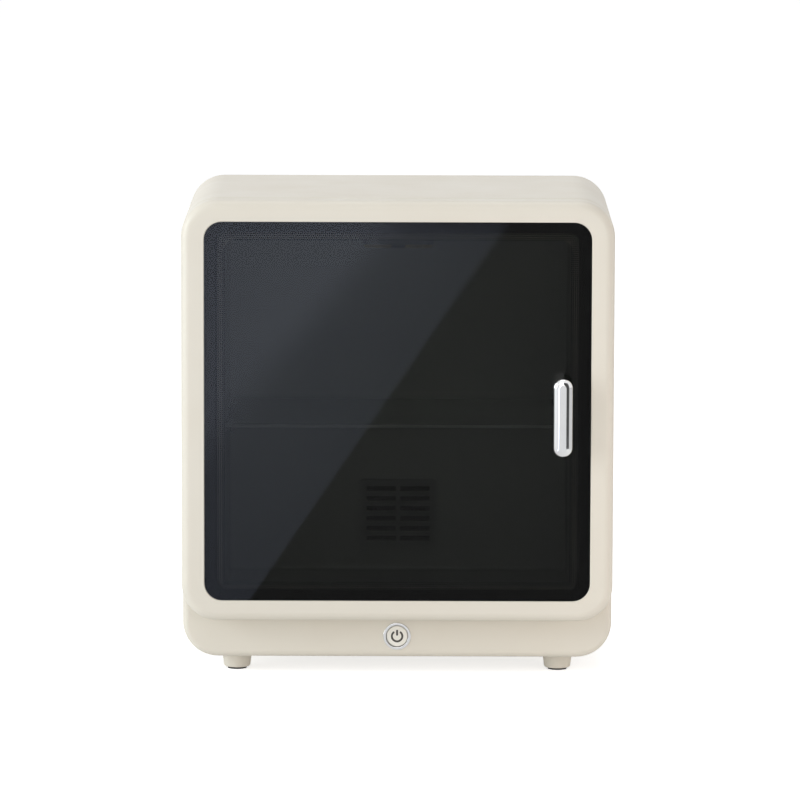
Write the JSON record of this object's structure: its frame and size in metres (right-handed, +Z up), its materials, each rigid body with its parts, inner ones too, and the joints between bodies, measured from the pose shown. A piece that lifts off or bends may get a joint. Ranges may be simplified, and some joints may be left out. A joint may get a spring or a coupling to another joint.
{
  "type": "bottle sterilizer cabinet",
  "caption": "Free-standing warm-air and UV sterilizing cabinet with a hinged smoked-glass door, a lift-out glass shelf, a ring-set power button and short tapered feet.",
  "frame": {"origin": "on the table, below the middle of the whole box", "axes": "+Z up, the door faces -Y, +X to the right seen from the front"},
  "size_m": [0.34, 0.2362, 0.38],
  "materials": {
    "ivory_plastic": "fine moulded satin",
    "smoked_glass": "polished, dark tint",
    "clear_glass": "polished",
    "lamp_quartz": "frosted",
    "chrome_plate": "mirror plated",
    "button_plastic": "fine satin",
    "liner_steel": "brushed",
    "plain_steel": "plated",
    "grey_plastic": "satin",
    "black_plastic": "satin",
    "heatproof_plastic": "moulded",
    "bare_aluminium": "cast and milled",
    "board_laminate": "lacquered",
    "led_package": "clear domed",
    "transformer_tape": "wound tape",
    "magnet_plating": "nickel plated",
    "pin_brass": "bright",
    "pad_rubber": "matt",
    "seal_silicone": "matt",
    "bedding_tape": "foam",
    "lead_sleeve": "smooth"
  },
  "bodies": {
    "cabinet": {"housing": "ivory_plastic", "rear_cover": "ivory_plastic", "feet": "ivory_plastic", "glass_shelf": "clear_glass", "uv_lamp_cover": "lamp_quartz", "button_ring": "chrome_plate", "inner_liner": "liner_steel", "hinge_bracket_lower": "plain_steel", "hinge_bracket_upper": "plain_steel", "strike_plates": "plain_steel", "shelf_pegs": "plain_steel", "hinge_screws": "plain_steel", "rear_cover_screws": "plain_steel", "liner_screws": "plain_steel", "duct_nuts": "plain_steel", "fan_screws": "plain_steel", "lamp_nuts": "plain_steel", "foot_screws": "plain_steel", "board_screws": "plain_steel", "inlet_screws": "plain_steel", "vent_grille": "grey_plastic", "fan_frame": "black_plastic", "power_inlet": "black_plastic", "lead_headers": "black_plastic", "tact_switch": "black_plastic", "heater_relay": "black_plastic", "door_sensor": "black_plastic", "filter_capacitor": "black_plastic", "thermostat": "black_plastic", "heater_duct": "heatproof_plastic", "uv_lamp_base": "bare_aluminium", "heater_core": "bare_aluminium", "control_board": "board_laminate", "uv_led_board": "board_laminate", "uv_leds": "led_package", "power_transformer": "transformer_tape", "inlet_pins": "pin_brass", "foot_pads": "pad_rubber", "mains_lead": "lead_sleeve", "heater_lead": "lead_sleeve", "lamp_lead": "lead_sleeve"},
    "door": {"door_frame": "ivory_plastic", "door_back_frame": "ivory_plastic", "door_frame_screws": "plain_steel", "door_gasket": "seal_silicone", "door_glass": "smoked_glass", "glass_tape": "bedding_tape", "handle": "chrome_plate", "handle_washers": "black_plastic", "handle_screws": "plain_steel", "hinge_pins": "plain_steel", "door_magnets": "magnet_plating"},
    "power_button": {"power_button": "button_plastic", "switch_plunger": "black_plastic"},
    "fan_rotor": {"fan_rotor": "black_plastic"}
  },
  "joints": [
    {"name": "door_hinge", "type": "hinge", "parent": "cabinet", "child": "door", "pos_m": [-0.1605, -0.0859, 0.2135], "axis": [0, 0, -1], "range_deg": [0, 105]},
    {"name": "power_button_press", "type": "slide", "parent": "cabinet", "child": "power_button", "axis": [0, 1, 0], "range_m": [0, 0.001], "stiffness_N_per_m": 1500},
    {"name": "fan_spin", "type": "hinge", "parent": "cabinet", "child": "fan_rotor", "pos_m": [0, 0.1041, 0.1055], "axis": [0, 1, 0], "continuous": true}
  ]
}
